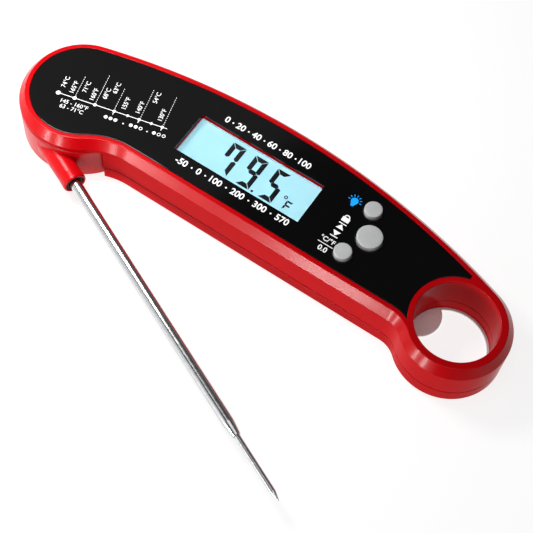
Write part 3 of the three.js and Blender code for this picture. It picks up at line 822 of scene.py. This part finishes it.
def opener_rivets():
    """The two rivets that hold the opener plate, flush in its sinks."""
    profile = rounded(
        [(0, 0.1), (RIVET_HEAD_R, 0.14, 0.1), (RIVET_R, 0.95), (RIVET_R, 3.7), (0, 3.7)], closed=False
    )
    for node in RIVET_NODES:
        rivet = turned(profile, centre_mm(node), 48)
        name = node.replace("rivet", "rivet_flush_head")
        finish_piece(rivet, name, "handle", PLATE_STEEL, [node])


# ---- buttons and display


def buttons():
    """Rubber caps with a rounded rim, each on a wider skirt that holds it under the face."""
    top = box_mm("hold_button")[1].z
    for node, r in BUTTONS.items():
        skirt = r + SKIRT_OUT
        side = rounded(
            [
                (0, STEM_Z), (STEM_R, STEM_Z), (STEM_R, SKIRT_Z0), (skirt, SKIRT_Z0), (skirt, SKIRT_Z1),
                (r, SKIRT_Z1), (r, top - 0.16, 0.3), (r * 0.8, top - 0.07, 2.0), (0, top),
            ],
            closed=False,
            steps=7,
        )
        crown = [(r * 0.4, top - 0.02), (0, top)]
        button = turned(side[:-1] + crown, centre_mm(node), 96)
        finish_piece(button, node + "_cap", node, GREY_RUBBER, [node])


def segment_digit(lit, x, y, width, height, thick, gap=0.16):
    """Outlines of the lit segments a to g of one seven-segment digit, its lower left corner at x, y."""
    w, h, t, m = width, height, thick, height / 2
    k = t / 2
    low, high = m - k * 0.6, m + k * 0.6
    below, above = m - gap * 0.5, m + gap * 0.5
    shapes = {
        "a": [(gap, h), (w - gap, h), (w - t - gap * 0.4, h - t), (t + gap * 0.4, h - t)],
        "d": [(gap, 0), (t + gap * 0.4, t), (w - t - gap * 0.4, t), (w - gap, 0)],
        "f": [(0, h - gap), (t, h - t - gap), (t, above + k * 0.8), (k, above), (0, high)],
        "b": [(w, h - gap), (w, high), (w - k, above), (w - t, above + k * 0.8), (w - t, h - t - gap)],
        "e": [(0, gap), (0, low), (k, below), (t, below - k * 0.8), (t, t + gap)],
        "c": [(w, gap), (w - t, t + gap), (w - t, below - k * 0.8), (w - k, below), (w, low)],
        "g": [(k + gap, m), (t + gap * 0.3, m + k), (w - t - gap * 0.3, m + k), (w - k - gap, m),
              (w - t - gap * 0.3, m - k), (t + gap * 0.3, m - k)],
    }
    return [[(x + px, y + py) for px, py in shapes[s]] for s in lit]


def display_digits():
    """A plain seven-segment reading with its unit sign, as ink on top of the display cell."""
    z = box_mm("lcd_glass")[1].z
    left, base, height, width, thick, pitch = -18.4, 1.3, 11.0, 4.45, 1.45, 7.65
    shapes = []
    for i, lit in enumerate(("abcf", "abcdfg", "acdfg")):
        shapes += segment_digit(lit, left + i * pitch, base, width, height, thick)
    shapes.append(circle(left + 2 * pitch - 2.1, base + 0.3, 0.38, 24))
    shapes += segment_digit("aefg", 4.7, base + 0.3, 2.2, 3.3, 0.55, 0.08)
    solids = [prism(points, z - 0.02, z + 0.05) for points in shapes]
    degree = pipe(3.9, base + 4.2, 0.58, 0.3, z, z + 0.05, 32)
    ink = joined(solids + [degree], "ink")
    return finish_piece(ink, "display_digits", "handle", LCD_INK)


def pane(low, high, r, rows):
    """A rounded plate filling the box from low to high, through rows of (distance inside it, height)."""
    return loft([(rounded_box(low.x + d, high.x - d, low.y + d, high.y - d, r), z) for d, z in rows])


def lcd_glass():
    """The display cell, with the polarising sheet on it set back from its edges."""
    low, high = box_mm("lcd_glass")
    edge = 0.12
    top = high.z - 0.2
    rows = rounded([(1, low.z), (0, low.z, edge), (0, top, edge), (1, top)], closed=False)
    cell = pane(low, high, 0.3, rows)
    foot = high.z - 0.25
    rows = rounded([(0.3, foot), (0, foot), (0, high.z, 0.06), (0.3, high.z)], closed=False)
    add(cell, pane(low + Vector((0.8, 0.8, 0)), high - Vector((0.8, 1.3, 0)), 0.3, rows))
    return finish_piece(cell, "display_cell", "handle", LCD_LIGHT, ["lcd_glass"])


def display_window():
    """The clear pane over the display."""
    low, high = box_mm("display_window")
    rows = rounded([(1, low.z), (0, low.z, 0.1), (0, high.z, 0.1), (1, high.z)], closed=False, steps=3)
    glazing = pane(low, high, 0.4, rows)
    return finish_piece(glazing, "display_window_pane", "handle", CLEAR, ["display_window"])


# ---- printing on the panel

INK_T = 0.03

# a cooking chart: its line starts at CHART_AT, and places on it are (along, across) in millimetres
CHART_AT, CHART_TILT = (-68.8, -4.7), 13.8
CHART_LENGTH = 33.9
CHART_DOTS = [(0.0, 0.68), (5.15, 0.6), (11.5, 0.52), (17.5, 0.5), (21.7, 0.42), (25.3, 0.48), (29.0, 0.42),
              (32.4, 0.48)]
CHART_LEADERS = [(5.05, 8.4), (11.45, 11.4), (17.35, 8.8), (25.4, 11.5), (32.5, 11.5)]
CHART_FIGURES = [(0.5, 4.3, "74°C"), (3.5, 3.4, "165°F"), (6.9, 4.9, "71°C"), (9.9, 3.2, "160°F"),
                 (13.2, 4.9, "68°C"), (15.2, 7.8, "63°C"), (19.7, 3.7, "155°F"), (24.0, 3.9, "140°F"),
                 (27.3, 8.9, "54°C"), (30.9, 3.8, "130°F")]
CHART_RANGES = [(5.8, -2.1, "145 - 160°F"), (5.8, -3.9, "63 - 71°C")]
CHART_LEVELS = [(17.5, 3), (25.3, 2), (32.4, 1)]
CHART_SPACERS = [21.5, 28.9]
LEADER_START, LEADER_PITCH, LEADER_DASH = 0.9, 0.72, 0.36

# the rows of figures above and below the display: texts, first and last end on the face
SCALES = [
    (("0", "20", "40", "60", "80", "100"), (-24.1, 16.1), (4.9, 16.4)),
    (("-50", "0", "100", "200", "300", "570"), (-27.9, -3.4), (9.7, -2.7)),
]
SCALE_HEIGHT, SCALE_WEIGHT, SCALE_DOT_R = 2.1, 0.05, 0.26

# the signs beside the buttons
LOCK_AT = (22.2, 8.2)
LIMIT_X, UPPER_LIMIT_Y, LOWER_LIMIT_Y = 22.2, 5.1, 2.3
UNITS_AT, ZERO_AT = (21.5, -0.7), (21.7, -3.9)
RULE_X0, RULE_X1, RULE_Y = 19.2, 24.0, -2.2
LAMP_AT, LAMP_R, RAY_R0, RAY_R1 = (21.1, 14.3), 1.1, 1.5, 2.1


def place_print(obj, x, y, angle=0.0):
    """Lays something made flat at the origin on the face."""
    obj.data.transform(Matrix.Translation((x, y, THICK)) @ Matrix.Rotation(math.radians(angle), 4, "Z"))
    return obj


def figures(text, height, weight):
    """Figures as a flat solid centred on the origin, with capitals of the given height."""
    curve = bpy.data.curves.new("figures", "FONT")
    curve.body = text
    curve.size = height / 0.73
    curve.align_x, curve.align_y = "CENTER", "CENTER"
    curve.extrude = INK_T
    curve.offset = weight
    curve.resolution_u = 5
    letters = bpy.data.objects.new("figures", curve)
    bpy.context.scene.collection.objects.link(letters)
    depsgraph = bpy.context.evaluated_depsgraph_get()
    mesh = bpy.data.meshes.new_from_object(letters.evaluated_get(depsgraph))
    bpy.data.objects.remove(letters)
    solid = bpy.data.objects.new("figures", mesh)
    bpy.context.scene.collection.objects.link(solid)
    return solid


def number(text, height, x, y, angle=0.0, weight=0.0):
    """Printed figures, centred at x, y."""
    return place_print(figures(text, height, weight), x, y, angle)


def printed(points, x, y, angle=0.0):
    """A printed shape from its outline."""
    return place_print(prism(points, -INK_T, INK_T), x, y, angle)


def dot(x, y, r, steps=32):
    return printed(circle(0, 0, r, steps), x, y)


def ring_print(x, y, r_out, r_in):
    return place_print(pipe(0, 0, r_out, r_in, -INK_T, INK_T, 32), x, y)


def stroke(x0, y0, x1, y1, width):
    """A printed straight line between two points."""
    length = math.hypot(x1 - x0, y1 - y0)
    angle = math.degrees(math.atan2(y1 - y0, x1 - x0))
    return printed(box_points(0, length, -width / 2, width / 2), x0, y0, angle)


def finish_print(marks, name, ink):
    """Joins printed marks into one piece on the handle."""
    return finish_piece(joined(marks, "marks"), name, "handle", ink, sharp=60)


def on_chart(u, v):
    """A place u along the chart's line and v across it, on the face."""
    t = math.radians(CHART_TILT)
    return CHART_AT[0] + u * math.cos(t) - v * math.sin(t), CHART_AT[1] + u * math.sin(t) + v * math.cos(t)


def chart_stroke(u0, v0, u1, v1, width):
    return stroke(*on_chart(u0, v0), *on_chart(u1, v1), width)


def chart_leader(u, top):
    """A dashed line from the chart's line up to v = top."""
    count = int((top - LEADER_START) / LEADER_PITCH)
    feet = [LEADER_START + k * (top - LEADER_START) / count for k in range(count)]
    return [chart_stroke(u, v, u, v + LEADER_DASH, 0.15) for v in feet]


def chart_level(u, level):
    """A tick under the chart's line over three small rounds, of which the first ones are filled."""
    r_out, r_in, pitch = 0.55, 0.36, 1.5
    marks = [chart_stroke(u, 0, u, -1.2, 0.22)]
    for k in range(3):
        at = on_chart(u + (k - 1) * pitch, -2.7)
        marks.append(dot(*at, r_out) if k < level else ring_print(*at, r_out, r_in))
    return marks


def chart_print():
    """A plain chart of cooking temperatures: a tilted line with dots, leaders, figures and level marks."""
    marks = [chart_stroke(0, 0, CHART_LENGTH, 0, 0.2)]
    marks += [dot(*on_chart(u, 0), r) for u, r in CHART_DOTS]
    for u, top in CHART_LEADERS:
        marks += chart_leader(u, top)
    marks += [number(text, 1.4, *on_chart(u, v), CHART_TILT + 90) for u, v, text in CHART_FIGURES]
    marks += [number(text, 1.35, *on_chart(u, v), CHART_TILT) for u, v, text in CHART_RANGES]
    for u, level in CHART_LEVELS:
        marks += chart_level(u, level)
    marks += [dot(*on_chart(u, -3.0), 0.22, 16) for u in CHART_SPACERS]
    return finish_print(marks, "chart_print", PRINT_WHITE_PAINTED_GLOW)


def figure_row(texts, start, end):
    """Figures spread evenly between two points of the face, with a dot in each gap."""
    blocks = [figures(text, SCALE_HEIGHT, SCALE_WEIGHT) for text in texts]
    spans = [[f(v.co.x for v in block.data.vertices) for f in (min, max)] for block in blocks]
    length, slope = end[0] - start[0], (end[1] - start[1]) / (end[0] - start[0])
    gap = (length - sum(high - low for low, high in spans)) / (len(texts) - 1)
    angle = math.degrees(math.atan(slope))
    marks, u = [], 0.0
    for i, (block, (low, high)) in enumerate(zip(blocks, spans)):
        marks.append(place_print(block, start[0] + u - low, start[1] + slope * (u - low), angle))
        u += high - low
        if i < len(texts) - 1:
            marks.append(dot(start[0] + u + gap / 2, start[1] + slope * (u + gap / 2), SCALE_DOT_R, 20))
        u += gap
    return marks


def scale_print():
    """Plain figures above and below the display."""
    marks = []
    for texts, start, end in SCALES:
        marks += figure_row(texts, start, end)
    return finish_print(marks, "scale_print", PRINT_WHITE_PAINTED_GLOW)


def padlock(x, y):
    """A small lock sign: a filled body under a bow."""
    bow = cut(pipe(0, 0, 0.88, 0.55, -INK_T, INK_T, 40), prism(box_points(-2, 2, -2, 0), -1, 1))
    return [printed(rounded_box(-1.15, 1.15, -1.3, 0.2, 0.2, 3), x, y), place_print(bow, x, y + 0.25)]


def limit_sign(x, y, way):
    """A small triangle against a bar, pointing up for way 1 and down for way -1."""
    triangle = [(-1.2, -0.9 * way), (1.2, -0.9 * way), (0, 0.7 * way)][::way]
    bar_y = y + 1.0 * way
    return [printed(triangle, x, y), stroke(x - 1.2, bar_y, x + 1.2, bar_y, 0.3)]


def key_print():
    """Plain signs beside the buttons: a lock, an upper and a lower limit, the two units and a zero."""
    marks = padlock(*LOCK_AT)
    marks += limit_sign(LIMIT_X, UPPER_LIMIT_Y, 1)
    marks += limit_sign(LIMIT_X, LOWER_LIMIT_Y, -1)
    marks.append(number("°C/°F", 1.5, *UNITS_AT, weight=0.02))
    marks.append(stroke(RULE_X0, RULE_Y, RULE_X1, RULE_Y, 0.2))
    marks.append(number("0.0", 1.7, *ZERO_AT, weight=0.03))
    return finish_print(marks, "key_print", PRINT_WHITE_PAINTED_GLOW)


def light_icon():
    """A small lamp sign with rays, printed in blue."""
    bulb = arc(0, 0, LAMP_R, math.radians(-30), math.radians(210), 24)
    marks = [printed(bulb + [(-0.3, -1.9), (0.3, -1.9)], *LAMP_AT)]
    for k in range(7):
        t = math.radians(k * 30)
        marks.append(stroke(*polar(*LAMP_AT, RAY_R0, t), *polar(*LAMP_AT, RAY_R1, t), 0.24))
    return finish_print(marks, "light_icon", PRINT_BLUE_PAINTED_GLOW)


# ---- assembly

front_shell()
back_shell()
label_panel()
display_window()
lcd_glass()
display_digits()
chart_print()
scale_print()
key_print()
light_icon()
arm_body()
hub_cap()
probe_collar()
probe_tube()
probe_tip()
battery_door()
shell_screws()
opener_plate()
opener_rivets()
buttons()

# the CAD nodes whose shapes stay, with the finish that each gets
KEPT = [
    (BLACK_RUBBER, ["shell_gasket", "door_seal", "hub_seal", "lcd_connector"]),
    (WHITE_PLASTIC, ["lcd_backlight", "lcd_frame"]),
    (BOARD_GREEN, ["circuit_board"]),
    (CHIP_BLACK, ["controller_chip", "tact_switch_1", "tact_switch_2", "tact_switch_3"]),
    (REED_GLASS, ["reed_sensor"]),
    (NICKEL, ["coin_cell", "battery_contact_pos", "battery_contact_neg", "pivot_washer", "pivot_screw"]),
    (MAGNET_GREY, MAGNET_NODES + ["hub_magnet"]),
    (BRASS, ["pivot_bushing"]),
    (RED_ARM, ["hub_cover"]),
    (CERAMIC, ["sensor_bead"]),
    (LEAD_RED, ["sensor_lead"]),
]
for finish, kept_nodes in KEPT:
    for kept_node in kept_nodes:
        for material_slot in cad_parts[kept_node].material_slots:
            material_slot.material = finish

# ---- floor, light and camera, in metres

# rectangular lights: name, place, what it faces, size, brightness and turn about its own axis
SOFT_BOXES = [
    # small and close over the hub, so the face grows darker towards the ring
    ("key", (-0.115, -0.012, 0.165), (-0.115, -0.012, 0), (0.07, 0.07), 26, 0.0),
    ("overhead", (0.16, -0.22, 1.2), (0.02, 0, 0), (1.0, 1.0), 1.1, 0.0),
    ("behind", (0.5, 1.1, 0.55), (0, 0, 0), (1.2, 0.8), 0.12, 0.0),
    # a dim card that the hub's half of the black panel mirrors
    ("panel_card", (-0.243, 0.215, 0.40), (-0.243, 0.215, 0), (0.23, 0.25), 0.2, -14.3),
    ("left_front", (-0.47, -0.42, 0.26), (0, 0, 0.05), (0.50, 0.48), 0.8, 0.0),
    # low in front, where the lower bevel mirrors them
    ("low_front", (-0.22, -0.62, 0.07), (-0.22, 0, 0.01), (0.66, 0.10), 1.2, 0.0),
    ("bevel_strip_neck", (-0.285, -0.61, 0.07), (-0.1, 0, 0.01), (0.065, 0.09), 38, 0.0),
    ("bevel_strip_heel", (-0.073, -0.61, 0.07), (0, 0, 0.01), (0.065, 0.09), 38, 0.0),
]
SKY_STRENGTH = 0.06
FLOOR_HALF, FLOOR_GLOW = 3, 0.80
CAMERA_AT = (0.087440, -0.163065, 0.331194)
CAMERA_RIGHT = (0.833205, 0.550174, 0.055476)
CAMERA_DOWN = (0.510526, -0.726834, -0.459430)
CAMERA_LENS = 87.62


def pale_floor():
    """A white floor that glows, so that it stays even and almost free of shadow."""
    points = box_points(-FLOOR_HALF, FLOOR_HALF, -FLOOR_HALF, FLOOR_HALF)
    floor = mesh_object("floor", [(x, y, 0) for x, y in points], [(0, 1, 2, 3)])
    material, tree, node = shader(
        "pale_floor", Roughness=0.9, Emission_Color=(1, 1, 1, 1), Emission_Strength=FLOOR_GLOW
    )
    greys = tones(tree, noise(tree, 3), (0.29, 0.29, 0.29), (0.31, 0.31, 0.31))
    tree.links.new(greys, node.inputs["Base Color"])
    floor.data.materials.append(material)


def soft_box(name, at, aim, size, radiance, spin):
    """A rectangular soft light of the given brightness, seen in gloss as an even patch."""
    light = bpy.data.lights.new(name, "AREA")
    light.shape = "RECTANGLE"
    light.size, light.size_y = size
    light.energy = radiance * math.pi * size[0] * size[1]
    obj = bpy.data.objects.new(name, light)
    towards = (Vector(aim) - Vector(at)).to_track_quat("-Z", "Y").to_matrix().to_4x4()
    obj.matrix_world = Matrix.Translation(at) @ towards @ Matrix.Rotation(math.radians(spin), 4, "Z")
    bpy.context.scene.collection.objects.link(obj)


def studio():
    """A faint even sky and the soft lights, without film-like colour grading."""
    bpy.context.scene.view_settings.view_transform = "Standard"
    world = bpy.data.worlds.new("studio")
    world.use_nodes = True
    sky = world.node_tree.nodes["Background"]
    sky.inputs["Color"].default_value = (1, 1, 1, 1)
    sky.inputs["Strength"].default_value = SKY_STRENGTH
    bpy.context.scene.world = world
    for box in SOFT_BOXES:
        soft_box(*box)


def photo_camera():
    """Looks down on the face from the ring's side of the lower edge, rolled so the handle slopes."""
    camera = bpy.data.cameras.new("camera")
    camera.sensor_width, camera.lens = 36.0, CAMERA_LENS
    camera.clip_start, camera.clip_end = 0.01, 20
    right, down = Vector(CAMERA_RIGHT), Vector(CAMERA_DOWN)
    obj = bpy.data.objects.new("camera", camera)
    turn = Matrix((right, -down, -right.cross(down))).transposed().to_4x4()
    obj.matrix_world = Matrix.Translation(CAMERA_AT) @ turn
    bpy.context.scene.collection.objects.link(obj)
    bpy.context.scene.camera = obj


pale_floor()
studio()
photo_camera()
